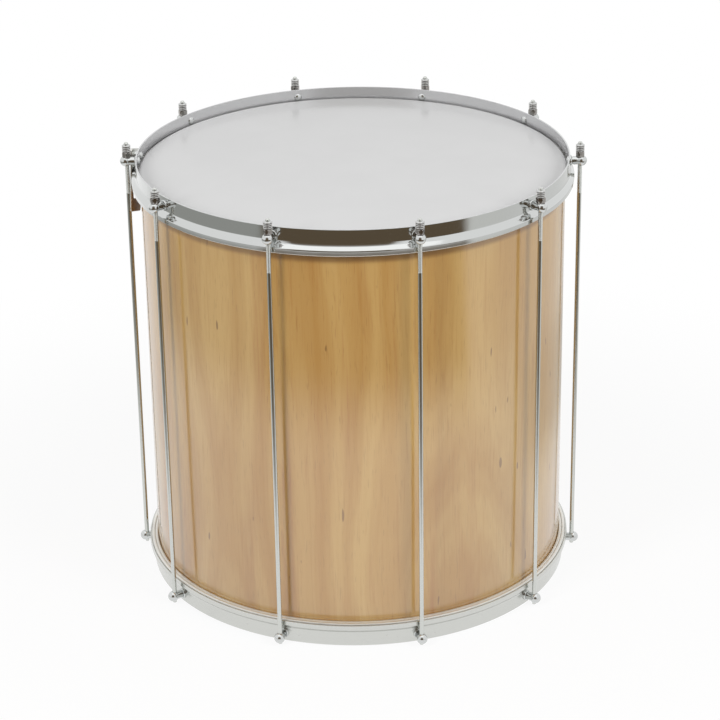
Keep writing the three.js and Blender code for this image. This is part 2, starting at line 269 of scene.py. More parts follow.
chrome = linear(208, 210, 209)
metalLooks = {
    "aluminium": {"tone": linear(238, 237, 232), "dull": 0.5, "wobble": 0.0003, "scuff": 0.3},
    "dullSheet": {"tone": linear(209, 210, 206), "dull": 0.2, "wobble": 0.0003, "scuff": 0.5},
    "lug": {"tone": chrome, "dull": 0.06, "wobble": 0.0001, "scuff": 0.15},
    "rod": {"tone": linear(208, 210, 206), "dull": 0.1, "wobble": 0.0001, "scuff": 0.2},
    "nut": {
        "tone": linear(206, 207, 206), "dull": 0.09, "wobble": 0.0001, "scuff": 0.28,
        # painted shade in the grooves and a painted reflection of the wood on the hexagon, darker and
        # browner
        "mark": "paintedNutShade", "markTone": linear(98, 78, 64), "markDull": 0.2, "markMatte": 0.0,
        "markTop": 1.0,     # metres up
    },
    "plate": {
        "tone": linear(212, 211, 206), "dull": 0.16, "wobble": 0.0001, "scuff": 0.28,
        # painted reflection of the wood and painted shade on the inner face, below the top of the mark
        "mark": "paintedWoodReflection", "markTone": linear(140, 108, 66), "markDull": 0.5, "markMatte": 0.9,
        "markTop": 0.43,
    },
}
allMetal = {
    "noises": {
        "wave": (45.0, 2.0, 0.5),
        "fine": (620.0, 3.0, 0.6),
        "marks": (240.0, 5.0, 0.75, (1, 1, 3.2)),
    },
    "wornFade": (0.58, 0.72),
    "scuffShade": 0.72,
    "scuffDull": 0.25,
    "fineDull": 0.05,
    "fineRelief": 0.04,
    "strength": 0.5,
    "markBase": 0.85,
    "markVary": 0.3,
    "markFade": 0.003,      # metres either side of the top of a mark
}


def metalMaterial(name, look):
    # worn metal, with painted shade and painted reflection where its mesh is marked
    material, maker, shader, place = newMaterial(name, {"Metallic": 1.0})
    look = {**allMetal, **look}
    wave, fine, marks = maker.noises(place, look["noises"])
    worn = maker.spread(marks, *look["wornFade"]) * look["scuff"]
    scuffed = tuple(c * look["scuffShade"] for c in look["tone"][:3]) + (1.0,)
    colour = maker.blend(worn, look["tone"], scuffed)
    roughness = look["dull"] + worn * look["scuffDull"] + fine * look["fineDull"]
    if "mark" in look:
        marked = maker.node("ShaderNodeAttribute", {"attribute_name": look["mark"]}, output="Fac")
        top, fade = look["markTop"], look["markFade"]
        marked = marked * maker.spread(maker.apart(place, 2), top + fade, top - fade)
        cover = marked * (fine * look["markVary"] + look["markBase"])
        colour = maker.blend(cover, colour, look["markTone"])
        roughness = roughness + marked * (look["markDull"] - look["dull"])
        feed(maker, shader, Metallic=1.0 - marked * look["markMatte"])
    feed(maker, shader, Base_Color=colour, Roughness=roughness,
         Normal=relief(maker, wave + fine * look["fineRelief"], look["wobble"], look["strength"]))
    return material


hoopLook = {
    "tone": chrome,
    "insideTone": linear(218, 218, 219),
    "split": 0.23085,       # metres from the axis to the middle of the wall
    "splitFade": 0.0002,
    "noises": {"wave": (38.0, 2.0, 0.5, (1, 1, 0.5)), "roll": (900.0, 2.0, 0.6, (0.12, 0.12, 1))},
    "dull": 0.07,
    "insideDull": 0.14,     # more of it inside
    "rollDull": 0.05,
    "rollRelief": 0.03,
    "relief": (0.0006, 0.5),
}


def hoopMaterial(name, look):
    # mirror outside the wall, satin inside it
    material, maker, shader, place = newMaterial(name, {"Metallic": 1.0})
    away = maker.fromAxis(maker.apart(place, 0), maker.apart(place, 1))
    inside = maker.spread(away, look["split"] + look["splitFade"], look["split"] - look["splitFade"])
    wave, roll = maker.noises(place, look["noises"])
    feed(maker, shader, Base_Color=maker.blend(inside, look["tone"], look["insideTone"]),
         Roughness=look["dull"] + inside * look["insideDull"] + roll * look["rollDull"],
         Normal=relief(maker, wave + roll * look["rollRelief"], *look["relief"]))
    return material


plyLook = {
    "pale": linear(196, 160, 112),
    "warm": linear(170, 130, 84),
    "layer": linear(132, 92, 54),
    "noises": {"layers": (500.0, 2.0, 0.6, (1, 1, 0.05)), "cloud": (30.0, 3.0, 0.6, (1, 1, 0.1))},
    "cloudFade": (0.3, 0.7),
    "layerFade": (0.5, 0.8),
    "layerShare": 0.4,
    "dull": 0.6,
    "relief": (0.0001, 0.5),
}


def plyMaterial(name, look):
    material, maker, shader, place = newMaterial(name, {"Roughness": look["dull"]})
    layers, cloud = maker.noises(place, look["noises"])
    colour = maker.blend(maker.spread(cloud, *look["cloudFade"]), look["pale"], look["warm"])
    shown = maker.spread(layers, *look["layerFade"]) * look["layerShare"]
    colour = maker.blend(shown, colour, look["layer"])
    feed(maker, shader, Base_Color=colour, Normal=relief(maker, layers, *look["relief"]))
    return material


finishes = {
    "shell": veneerMaterial("lacqueredVeneer", veneerLook),
    "ring": plyMaterial("plainPly", plyLook),
    "head": filmMaterial("milkyFilm", filmLook),
    "flesh_hoop": metalMaterial("millAluminium", metalLooks["aluminium"]),
    "batter_hoop": hoopMaterial("chromedSheet", hoopLook),
    "bottom_hoop": metalMaterial("dullSheet", metalLooks["dullSheet"]),
    "lug": metalMaterial("turnedChrome", metalLooks["lug"]),
    "rod": metalMaterial("rodChrome", metalLooks["rod"]),
    "nut": metalMaterial("nutChrome", metalLooks["nut"]),
    "bracket": metalMaterial("platedSteel", metalLooks["plate"]),
}
print("finishes made:", len(finishes))


# Shapes, drawn in millimetres

def circleTurns(steps):
    return [2 * math.pi * i / steps for i in range(steps)]


def quarterTurns(steps):
    return [i / steps * math.pi / 2 for i in range(steps + 1)]


def softened(points, radii, steps=4):
    # a closed outline with its corners rounded
    made = []
    for i, (corner, radius) in enumerate(zip(points, radii)):
        here, back, on = Vector(corner), Vector(points[i - 1]), Vector(points[(i + 1) % len(points)])
        if not radius:
            made.append(tuple(here))
            continue
        toBack, toOn = (back - here).normalized(), (on - here).normalized()
        half = toBack.angle(toOn) / 2
        reach = radius / math.tan(half)
        start, end = here + toBack * reach, here + toOn * reach
        centre = here + (toBack + toOn).normalized() * (radius / math.sin(half))
        for step in range(steps + 1):
            spoke = (start - centre).slerp(end - centre, step / steps)
            made.append(tuple(centre + spoke))
    return made


def quarter(startR, startZ, reach, depth, steps):
    return [(startR + reach * math.sin(t), startZ - depth * (1 - math.cos(t)))
            for t in quarterTurns(steps)]


def dome(radius, height, steps=8):
    # from the crown out to the rim
    return [(radius * math.sin(t), height * math.cos(t)) for t in quarterTurns(steps)]


def beside(line, distance):
    # the line moved to the right of its run
    moved = []
    for i, (r, z) in enumerate(line):
        before, after = Vector(line[max(i - 1, 0)]), Vector(line[min(i + 1, len(line) - 1)])
        run = (after - before).normalized()
        moved.append((r + run.y * distance, z - run.x * distance))
    return moved


edgeFlat = 0.4              # a sheet's edge stands out by this share of half its thickness


def sheetOutline(line, thickness, steps=6):
    # a rolled sheet round a middle line, its two edges rounded off
    half = thickness / 2
    arcs = []
    for tip, inner in ((line[-1], line[-2]), (line[0], line[1])):
        run = Vector(tip) - Vector(inner)
        heading = math.atan2(run.y, run.x)
        arc = []
        for step in range(1, steps):
            angle = math.pi / 2 - math.pi * step / steps
            ahead, across = half * edgeFlat * math.cos(angle), half * math.sin(angle)
            arc.append((tip[0] + ahead * math.cos(heading) - across * math.sin(heading),
                        tip[1] + ahead * math.sin(heading) + across * math.cos(heading)))
        arcs.append(arc)
    far, near = arcs
    return beside(line, -half) + far + beside(line, half)[::-1] + near


weldDistance = 1e-7         # metres


def finishMesh(mesh, sharpAngle=32):
    made = bmesh.new()
    made.from_mesh(mesh)
    bmesh.ops.remove_doubles(made, verts=made.verts, dist=weldDistance)
    bmesh.ops.recalc_face_normals(made, faces=made.faces)
    made.to_mesh(mesh)
    made.free()
    mesh.shade_smooth()
    mesh.set_sharp_from_angle(angle=math.radians(sharpAngle))
    return mesh


def gridMesh(name, rows, columns, closedRows):
    # rows of points joined by quads; a row of one point is a pole
    points, faces, starts = [], [], []
    for row in rows:
        starts.append(len(points))
        points += row

    def at(row, column):
        return starts[row] + (column if len(rows[row]) > 1 else 0)

    pairs = list(zip(range(len(rows)), range(1, len(rows))))
    if closedRows:
        pairs.append((len(rows) - 1, 0))
    for low, high in pairs:
        for here in range(columns):
            on = (here + 1) % columns
            corners = (at(low, here), at(low, on), at(high, on), at(high, here))
            face = list(dict.fromkeys(corners))
            if len(face) > 2:
                faces.append(face)
    mesh = bpy.data.meshes.new(name)
    mesh.from_pydata([Vector(p) * mm for p in points], [], faces)
    return finishMesh(mesh)


def revolve(name, outline, columns, closed=True):
    turns = circleTurns(columns)
    rows = []
    for r, z in outline:
        onAxis = r < 1e-6
        rows.append([(0, 0, z)] if onAxis else [(r * math.sin(t), -r * math.cos(t), z) for t in turns])
    return gridMesh(name, rows, columns, closed)


def newObject(name, data):
    made = bpy.data.objects.new(name, data)
    bpy.context.scene.collection.objects.link(made)
    return made


def evaluated(holder):
    # the holder's final mesh; the holder itself goes
    graph = bpy.context.evaluated_depsgraph_get()
    mesh = bpy.data.meshes.new_from_object(holder.evaluated_get(graph), depsgraph=graph)
    bpy.data.objects.remove(holder)
    return mesh


def newPiece(name, mesh, body, finish, replaced):
    piece = newObject(name, mesh)
    if not mesh.materials:
        mesh.materials.append(finishes[finish])
    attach(piece, body)
    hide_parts(*replaced)


def numbered(prefix):
    return [prefix + str(k + 1) for k in range(layout["stations"])]


def atEnd(outline, end):
    # heights above a playing face become heights above the floor
    if end == "batter":
        lift = layout["height"] - layout["rimStand"]
        return [(r, lift + h) for r, h in outline]
    return [(r, layout["rimStand"] - h) for r, h in outline]


# Shell, heads and hoops

shellSizes = {
    "wall": 6.0,
    "edgeInset": 2.2,       # crown of the edge, in from the outer face
    "edgeDepth": 1.6,
    "edgeSteps": 6,
    "crownWidth": 1.0,
    "slope": 2.4,
    "film": 0.5,
    "columns": 288,
}


def shellPiece(sizes):
    outer = layout["shellRadius"]
    inner = outer - sizes["wall"]
    seat = -sizes["film"] - layout["seam"]
    crown = outer - sizes["edgeInset"]
    edge = [(inner, seat - sizes["slope"]), (crown - sizes["crownWidth"], seat)]
    edge += quarter(crown, seat, sizes["edgeInset"], sizes["edgeDepth"], sizes["edgeSteps"])
    outline = atEnd(edge, "batter") + atEnd(edge, "bottom")[::-1]
    mesh = revolve("shellTube", outline, sizes["columns"])
    newPiece("shellTube", mesh, drumBody, "shell", ["shell"])


headSizes = {
    "film": 0.5,
    "flat": 224.8,          # where the film starts to bend down
    "leg": 229.3,
    "drop": 3.9,
    "legLength": 5.0,
    "bendSteps": 12,
    "faceRings": (0.12, 0.3, 0.55, 0.8, 0.97),      # shares of the flat
    "columns": 256,
}


def headPiece(sizes, end):
    flat, leg, drop = sizes["flat"], sizes["leg"], sizes["drop"]
    bend = quarter(flat, 0, leg - flat, drop, sizes["bendSteps"])
    face = [(0, 0)] + [(flat * share, 0) for share in sizes["faceRings"]]
    outside = face + bend + [(leg, -drop - sizes["legLength"])]
    under = beside(outside, sizes["film"])
    under[0] = (0, -sizes["film"])
    mesh = revolve(end + "Head", atEnd(outside + under[::-1], end), sizes["columns"], False)
    newPiece(end + "Head", mesh, drumBody, "head", [end + "_head"])


hoopSizes = {
    "sheet": 1.5,
    "wall": 231.6,          # outer radius
    "reach": 4.9,           # bead beyond the wall
    "height": 26.0,
    "wallHeight": 20.6,
    "shoulder": 0.9,
    "slope": 46.0,          # degrees that the throat turns out from the wall
    "beadRadius": 1.0,
    "throat": 7.4,          # hollow bend between the wall and the shoulder
    "tuck": 0.39,           # skirt's foot drawn in under the bead
    "tuckBend": 0.8,        # exponent of its curve
    "wallRings": (0.66, 0.33, 0),       # rows of points, as shares of its height
    "skirtRings": (0.05, 0.15, 0.35, 0.65, 1),
    "throatSteps": 10,
    "beadSteps": 8,
    "columns": 288,
}


def hoopLine(sizes):
    # middle of the sheet: wall, hollow throat, sloping shoulder, tight bead, skirt leaning in
    middle = sizes["wall"] - sizes["sheet"] / 2
    top = layout["rimStand"]
    foot = top - sizes["wallHeight"]
    throat, crown, slope = sizes["throat"], sizes["beadRadius"], sizes["slope"]
    edge = sizes["sheet"] / 2 * edgeFlat
    rise = top - edge - foot - throat
    line = [(middle, top - edge)]
    line += [(middle, foot + throat + rise * share) for share in sizes["wallRings"]]
    for step in range(1, sizes["throatSteps"] + 1):
        turn = step / sizes["throatSteps"] * math.radians(slope)
        line.append((middle + throat * (1 - math.cos(turn)), foot + throat * (1 - math.sin(turn))))
    beadR = middle + sizes["reach"]
    beadZ = foot - sizes["shoulder"]
    for step in range(sizes["beadSteps"] + 1):
        turn = math.radians(slope + (90 - slope) * step / sizes["beadSteps"])
        line.append((beadR - crown * (1 - math.sin(turn)), beadZ + crown * math.cos(turn)))
    skirt = beadZ - (top - sizes["height"] + edge)
    line += [(beadR - sizes["tuck"] * share ** sizes["tuckBend"], beadZ - skirt * share)
             for share in sizes["skirtRings"]]
    return line


def hoopPiece(sizes, end, body):
    outline = atEnd(sheetOutline(hoopLine(sizes), sizes["sheet"]), end)
    mesh = revolve(end + "Hoop", outline, sizes["columns"])
    newPiece(end + "Hoop", mesh, body, end + "_hoop", [end + "_hoop"])


channelSizes = {
    "inner": 227.5,
    "outer": 234.1,
    "top": -5.7,
    "foot": -15.3,
    "crown": 0.4,           # rises this much towards the shoulder
    "shoulderWidth": 3.1,
    "shoulderDepth": 3.0,
    "lip": 2.6,             # width of each folded lip at the foot
    "lipSlope": (0.4, 0.2),     # outer lip's foot above the inner one's, at its two sides
    "groove": 0.5,
    "grooveSlope": 0.3,
    "radii": [0.5, 1.0, 1.0, 0.7, 0.5, 0.2, 0.2, 0.7, 0.7],
    "columns": 256,
}


def channelPiece(sizes, end):
    inner, outer, top, foot = (sizes[key] for key in ("inner", "outer", "top", "foot"))
    lip, slope, deep = sizes["lip"], sizes["grooveSlope"], foot + sizes["groove"]
    outerFoot, innerFoot = (foot + rise for rise in sizes["lipSlope"])
    corners = [(inner, top), (outer - sizes["shoulderWidth"], top + sizes["crown"]),
               (outer, top - sizes["shoulderDepth"]), (outer, outerFoot), (outer - lip, innerFoot),
               (outer - lip - slope, deep), (inner + lip + slope, deep), (inner + lip, foot),
               (inner, foot)]
    outline = atEnd(softened(corners, sizes["radii"]), end)
    mesh = revolve(end + "Channel", outline, sizes["columns"])
    newPiece(end + "Channel", mesh, drumBody, "flesh_hoop", [end + "_flesh_hoop"])


shellPiece(shellSizes)
for end, body in (("batter", hoopBody), ("bottom", drumBody)):
    headPiece(headSizes, end)
    hoopPiece(hoopSizes, end, body)
    channelPiece(channelSizes, end)
print("shell, heads and hoops made")


# Repeats round the drum

def newTree(name, sockets):
    tree = bpy.data.node_groups.new(name, "GeometryNodeTree")
    tree.interface.new_socket("Geometry", in_out="INPUT", socket_type="NodeSocketGeometry")
    for label, kind in sockets.items():
        tree.interface.new_socket(label, in_out="INPUT", socket_type="NodeSocket" + kind)
    tree.interface.new_socket("Geometry", in_out="OUTPUT", socket_type="NodeSocketGeometry")
    maker = Maker(tree)
    source = tree.nodes.new("NodeGroupInput")
    inputs = {label: Sock(maker, source.outputs[label]) for label in ["Geometry", *sockets]}
    return tree, maker, inputs


def stationTree():
    # copies round the drum's axis, realized, with their finish
    sockets = {"Count": "Int", "First Angle": "Float", "Step": "Float", "Radius": "Float",
               "Height": "Float", "Finish": "Material"}
    tree, maker, given = newTree("stations", sockets)
    out = maker.node("ShaderNodeCombineXYZ", None, {"Y": given["Radius"] * -1.0, "Z": given["Height"]})
    placed = maker.node("GeometryNodeTransform", None,
                        {"Geometry": given["Geometry"], "Translation": out})
    points = maker.node("GeometryNodeMeshLine", None, {"Count": given["Count"], "Offset": (0, 0, 0)})
    index = maker.node("GeometryNodeInputIndex")
    angle = given["First Angle"] + index * given["Step"]
    turn = maker.node("ShaderNodeCombineXYZ", None, {"Z": angle})
    copies = maker.node("GeometryNodeInstanceOnPoints", None,
                        {"Points": points, "Instance": placed, "Rotation": turn})
    real = maker.node("GeometryNodeRealizeInstances", None, [copies])
    done = maker.node("GeometryNodeSetMaterial", None, {"Geometry": real, "Material": given["Finish"]})
    maker.node("NodeGroupOutput", None, [done])
    return tree


def threadTree():
    # a screw thread cut into an upright bar on the tree's own axis
    sockets = {"Pitch": "Float", "Depth": "Float", "Start": "Float", "Runout": "Float", "Skin": "Float"}
    tree, maker, given = newTree("screwThread", sockets)
    crest, root = 0.12, 0.42        # pitches from the crest's middle
    place = maker.node("GeometryNodeInputPosition")
    x, y, z = (maker.apart(place, axis) for axis in range(3))
    phase = z / given["Pitch"] + maker.maths("ARCTAN2", x, y) / (2 * math.pi)
    cut = maker.spread(maker.maths("PINGPONG", phase, 0.5), crest, root) * given["Depth"]
    inThread = maker.spread(z, given["Start"], given["Start"] + given["Runout"])
    away = maker.fromAxis(x, y)
    skin = maker.maths("GREATER_THAN", away, given["Skin"])
    share = cut * inThread * skin / maker.maths("MAXIMUM", away, 1e-4)
    offset = maker.node("ShaderNodeCombineXYZ", None, [x * share * -1.0, y * share * -1.0])
    moved = maker.node("GeometryNodeSetPosition", None,
                       {"Geometry": given["Geometry"], "Offset": offset})
    maker.node("NodeGroupOutput", None, [moved])
    return tree


def grow(base, steps):
    # runs node trees over a mesh and returns the plain result
    holder = newObject("holder", base)
    for tree, values in steps:
        modifier = holder.modifiers.new(tree.name, "NODES")
        modifier.node_group = tree
        for item in tree.interface.items_tree:
            if item.item_type == "SOCKET" and item.in_out == "INPUT" and item.name in values:
                modifier[item.identifier] = values[item.name]
    return evaluated(holder)


stations = stationTree()
screwThread = threadTree()
everyStation = {"Count": layout["stations"], "First Angle": firstAngle, "Step": stationStep}


# Lugs

lugSizes = {
    "headRadius": 4.4,
    "headHeight": 2.3,
    "shank": 2.4,
    "wallInside": 230.05,
    "wallOutside": 231.65,
    "flange": 5.1,
    "flangeThickness": 1.3,
    "waist": 4.5,
    "waistStart": 0.3,      # both beyond the flange
    "waistEnd": 2.5,
    "radii": [0, 0, 0.35, 0.5, 0.25, 0],
    "ball": 5.8,
    "ballOffset": 1.65,     # ball's centre beyond the rod's axis
    "ballSteps": 16,
    "bore": 2.65,
    "spotFace": 4.4,        # flat for the nut above the lug's axis
    "spotMargin": 0.1,      # its cutter is this much wider than the ball
    "sink": 3.6,            # hollow under the lower lug for the rod's foot
    "sinkTop": -4.1,
    "coneTop": -1.5,
    "clear": 14.0,          # the cutters reach past the ball
    "columns": 48,
}


def lugBlank(sizes):
    ballAt = layout["rodCircle"] + sizes["ballOffset"]
    neck = math.asin(sizes["waist"] / sizes["ball"])
    inside, outside = sizes["wallInside"], sizes["wallOutside"]
    collar = outside + sizes["flangeThickness"]
    outline = [(r, inside - h) for r, h in dome(sizes["headRadius"], sizes["headHeight"])]
    corners = [(sizes["shank"], inside), (sizes["shank"], outside),
               (sizes["flange"], outside), (sizes["flange"], collar),
               (sizes["waist"], collar + sizes["waistStart"]),
               (sizes["waist"], collar + sizes["waistEnd"])]
    outline += softened(corners, sizes["radii"])
    for step in range(sizes["ballSteps"] + 1):
        turn = (math.pi - neck) * (1 - step / sizes["ballSteps"])
        outline.append((sizes["ball"] * math.sin(turn), ballAt + sizes["ball"] * math.cos(turn)))
    mesh = revolve("lugBlank", outline, sizes["columns"], False)
    mesh.transform(Matrix.Rotation(math.pi / 2, 4, "X"))
    return mesh


def upright(name, radiusFoot, radiusTop, foot, top):
    # a cutter on the rod's axis
    outline = [(0, foot), (radiusFoot, foot), (radiusTop, top), (0, top)]
    mesh = revolve(name, outline, lugSizes["columns"], False)
    mesh.transform(Matrix.Translation((0, -layout["rodCircle"] * mm, 0)))
    return mesh


def carve(blank, cutters):
    holder = newObject("carved", blank)
    tools = [newObject("cutter", cutter) for cutter in cutters]
    for tool in tools:
        modifier = holder.modifiers.new("cut", "BOOLEAN")
        modifier.object = tool
        modifier.operation = "DIFFERENCE"
        modifier.solver = "EXACT"
    mesh = evaluated(holder)
    for tool in tools:
        bpy.data.objects.remove(tool)
    return finishMesh(mesh, sharpAngle=38)


def lugPieces(sizes):
    bore, sink, clear = sizes["bore"], sizes["sink"], sizes["clear"]
    spot = sizes["ball"] + sizes["spotMargin"]
    upper = carve(lugBlank(sizes), [
        upright("bore", bore, bore, -clear, clear),
        upright("spotFace", spot, spot, sizes["spotFace"], clear),
    ])
    lower = carve(lugBlank(sizes), [
        upright("bore", bore, bore, -clear, clear),
        upright("sink", sink, sink, -clear, sizes["sinkTop"]),
        upright("cone", sink, bore, sizes["sinkTop"], sizes["coneTop"]),
    ])
    for name, mesh, height, body, prefix in (
            ("upperLugs", upper, upperLugZ, hoopBody, "upper_lug_"),
            ("lowerLugs", lower, layout["lugInset"], drumBody, "lower_lug_")):
        values = {**everyStation, "Radius": 0.0, "Height": height * mm, "Finish": finishes["lug"]}
        newPiece(name, grow(mesh, [(stations, values)]), body, "lug", numbered(prefix))


lugPieces(lugSizes)
print("lugs made")


# Tension rods and their nuts

rodSizes = {
    "radius": 2.4,
    "top": 481.9,
    "foot": 1.4,
    "footRadius": 2.2,
    "footBevel": 0.6,
    "coneTop": 7.5,
    "coneFoot": 4.9,
    "coneRadius": 3.3,
    "threadStart": 424.0,
    "runout": 2.0,
    "pitch": 1.058,
    "threadDepth": 0.34,
    "threadSkin": 2.1,      # only what is farther out than this is cut
    "rowsPerTurn": 5,
    "crown": [(0, 0.7), (0.6, 0.1), (0.75, 0)],     # in from the rod's side, down from its top
    "columns": 20,
}


def rodPiece(sizes):
    top, radius, pitch, runout = (sizes[key] for key in ("top", "radius", "pitch", "runout"))
    foot, footRadius, bevel = sizes["foot"], sizes["footRadius"], sizes["footBevel"]
    outline = [(0, foot), (footRadius - bevel, foot), (footRadius, foot + bevel),
               (footRadius, sizes["coneFoot"]), (sizes["coneRadius"], sizes["coneFoot"]),
               (radius, sizes["coneTop"])]
    start, stop = sizes["threadStart"] - runout, top - sizes["crown"][0][1]
    rows = int((stop - start) / (pitch / sizes["rowsPerTurn"]))
    outline += [(radius, start + (stop - start) * i / rows) for i in range(rows + 1)]
    outline += [(radius - inset, top - drop) for inset, drop in sizes["crown"][1:]] + [(0, top)]
    mesh = revolve("rod", outline, sizes["columns"], False)
    thread = {"Pitch": pitch * mm, "Depth": sizes["threadDepth"] * mm,
              "Start": sizes["threadStart"] * mm, "Runout": runout * mm,
              "Skin": sizes["threadSkin"] * mm}
    values = {**everyStation, "Radius": layout["rodCircle"] * mm, "Height": 0.0,
              "Finish": finishes["rod"]}
    grown = grow(mesh, [(screwThread, thread), (stations, values)])
    newPiece("tensionRods", grown, drumBody, "rod", numbered("tension_rod_"))


nutSizes = {
    "height": 14.2,
    "hexHeight": 6.0,
    "acrossFlats": 8.7,
    "foot": [(0.5, 0.0), (0.1, 0.15)],      # in from the flats, up from the foot
    "footBevel": 1.0,
    "hexBevel": 0.5,
    "neck": 0.2,            # between the hexagon and the first ring
    "barrel": 4.7,
    "groove": 3.6,
    "rings": 4,
    "ringSteps": 8,
    "ringBend": 0.7,        # exponent of each ring's swell
    "crown": [(0, 0.5), (0.1, 0.2), (0.5, 0)],      # in from the groove, down from the top
    "bore": 2.45,
    "lift": 0.06,           # above the flat on its lug
    "columns": 72,
    "hexPaintedShade": 0.5,
    "bareTop": 0.8,         # no painted shade above this much below the top
}


def nutRows(sizes):
    # radius, height, and whether the flats cut the row: hexagon below, ringed barrel above
    height, hexTop, flat = sizes["height"], sizes["hexHeight"], sizes["acrossFlats"] / 2
    groove, steps, crown = sizes["groove"], sizes["ringSteps"], sizes["crown"]
    corner = flat / math.cos(math.pi / 6)
    rows = [(sizes["bore"], 0.0, False)]
    rows += [(flat - inset, rise, True) for inset, rise in sizes["foot"]]
    rows += [(corner, sizes["footBevel"], True), (corner, hexTop - sizes["hexBevel"], True),
             (flat, hexTop, True)]
    ringHigh = (height - crown[0][1] - hexTop - sizes["neck"]) / sizes["rings"]
    for ring in range(sizes["rings"]):
        low = hexTop + sizes["neck"] + ring * ringHigh
        for step in range(steps):
            swell = math.sin(math.pi * step / steps) ** sizes["ringBend"]
            rows.append((groove + (sizes["barrel"] - groove) * swell, low + ringHigh * step / steps, False))
    rows += [(groove - inset, height - drop, False) for inset, drop in crown]
    return rows + [(sizes["bore"], height, False)]


def nutMesh(sizes):
    flat, columns = sizes["acrossFlats"] / 2, sizes["columns"]
    placed = []
    for radius, z, hexed in nutRows(sizes):
        row = []
        for turn in circleTurns(columns):
            wedge = (turn + math.pi / 6) % (math.pi / 3) - math.pi / 6
            reach = min(radius, flat / math.cos(wedge)) if hexed else radius
            row.append((reach * math.sin(turn), -reach * math.cos(turn), z))
        placed.append(row)
    mesh = gridMesh("nut", placed, columns, True)
    # painted shade in the grooves and a painted reflection of the wood on the hexagon
    paintedNutShade = mesh.attributes.new("paintedNutShade", "FLOAT", "POINT")
    for point, mark in zip(mesh.vertices, paintedNutShade.data):
        radius, z = math.hypot(point.co.x, point.co.y) / mm, point.co.z / mm
        sunk = (sizes["barrel"] - radius) / (sizes["barrel"] - sizes["groove"])
        if z < sizes["hexHeight"] + sizes["neck"] / 2:
            mark.value = sizes["hexPaintedShade"]
        elif z < sizes["height"] - sizes["bareTop"]:
            mark.value = min(1.0, max(0.0, sunk))
    return mesh


def nutPieces(sizes):
    base = nutMesh(sizes)
    seat = upperLugZ + lugSizes["spotFace"] + sizes["lift"]
    pairs = zip(numbered("nut_"), numbered("tension_nut_"))
    for k, (name, node) in enumerate(pairs):
        values = {"Count": 1, "First Angle": firstAngle + k * stationStep, "Step": 0.0,
                  "Radius": layout["rodCircle"] * mm, "Height": seat * mm, "Finish": finishes["nut"]}
        newPiece(name, grow(base, [(stations, values)]), name, "nut", [node])


rodPiece(rodSizes)
nutPieces(nutSizes)
print("rods and nuts made")


# Strap plate

plateSizes = {
    "width": 40.0,
    "height": 68.0,
    "thickness": 1.8,
    "rim": 0.3,             # radius of its rounded rims
    "rimSteps": 2,
    "inside": 236.9,        # its inner face from the drum's axis
    "corner": 4.0,
    "frontInset": 11.5,     # bolt from the front edge
    "topInset": 7.5,
    "slotWidth": 24.0,
    "slotHeight": 8.0,
    "slotInset": 18.0,
    "turn": 18.5,
    "lean": 1.4,            # it hangs in against the bead
    "yaw": -2.2,
    "hole": 2.2,
    "holeSteps": 28,
}


def loopPoints(left, right, foot, top, radius, steps=8):
    corners = [(right - radius, top - radius), (left + radius, top - radius),
               (left + radius, foot + radius), (right - radius, foot + radius)]
    points = []
    for i, (x, y) in enumerate(corners):
        for step in range(steps + 1):
            turn = (i + step / steps) * math.pi / 2
            points.append((x + radius * math.cos(turn), y + radius * math.sin(turn)))
    return points


def plateLoops(sizes, rim):
    # outlines of the plate, its slot and its hole, drawn inside the metal for the bevel to fill
    front, top = sizes["frontInset"], sizes["topInset"]
    back, foot = front - sizes["width"], top - sizes["height"]
    slotAt, slotZ = (front + back) / 2, foot + sizes["slotInset"]
    halfWide, halfHigh = sizes["slotWidth"] / 2, sizes["slotHeight"] / 2
    hole = sizes["hole"] + rim
    return [
        loopPoints(back + rim, front - rim, foot + rim, top - rim, sizes["corner"] - rim),
        loopPoints(slotAt - halfWide - rim, slotAt + halfWide + rim,
                   slotZ - halfHigh - rim, slotZ + halfHigh + rim, halfHigh + rim),
        [(hole * math.cos(t), hole * math.sin(t)) for t in circleTurns(sizes["holeSteps"])],
    ]


def platePiece(sizes):
    rim = sizes["rim"]
    curve = bpy.data.curves.new("plateOutline", "CURVE")
    curve.dimensions = "2D"
    curve.fill_mode = "BOTH"
    curve.extrude = (sizes["thickness"] / 2 - rim) * mm
    curve.bevel_depth = rim * mm
    curve.bevel_resolution = sizes["rimSteps"]
    for loop in plateLoops(sizes, rim):
        spline = curve.splines.new("POLY")
        spline.points.add(len(loop) - 1)
        for point, (x, y) in zip(spline.points, loop):
            point.co = (x * mm, y * mm, 0, 1)
        spline.use_cyclic_u = True
    mesh = evaluated(newObject("plateHolder", curve))
    # painted reflection of the wood and painted shade: the inner face turns brown and matte
    paintedWoodReflection = mesh.attributes.new("paintedWoodReflection", "FLOAT", "POINT")
    for point, mark in zip(mesh.vertices, paintedWoodReflection.data):
        mark.value = 1.0 if point.co.z < 0 else 0.0
    # x runs to the front, y up and z outwards; the plate hangs turned about its bolt
    stand = (sizes["inside"] + sizes["thickness"] / 2) * mm
    outward = Matrix.Translation((0, -stand, upperLugZ * mm)) @ Matrix.Rotation(math.pi / 2, 4, "X")
    lean, yaw, turn = (math.radians(sizes[key]) for key in ("lean", "yaw", "turn"))
    hang = Matrix.Rotation(lean, 4, "X") @ Matrix.Rotation(yaw, 4, "Y")
    mesh.transform(Matrix.Rotation(plateAngle, 4, "Z") @ outward @ hang @ Matrix.Rotation(turn, 4, "Z"))
    newPiece("strapPlate", finishMesh(mesh), plateBody, "bracket", ["strap_bracket"])


boltSizes = {
    "shank": 2.0,
    "head": 4.0,
    "headHeight": 2.2,
    "sleeve": 3.7,
    "sleeveBore": 2.1,
    "radii": [0, 0.3, 0.3, 0],
    "columns": 40,
}


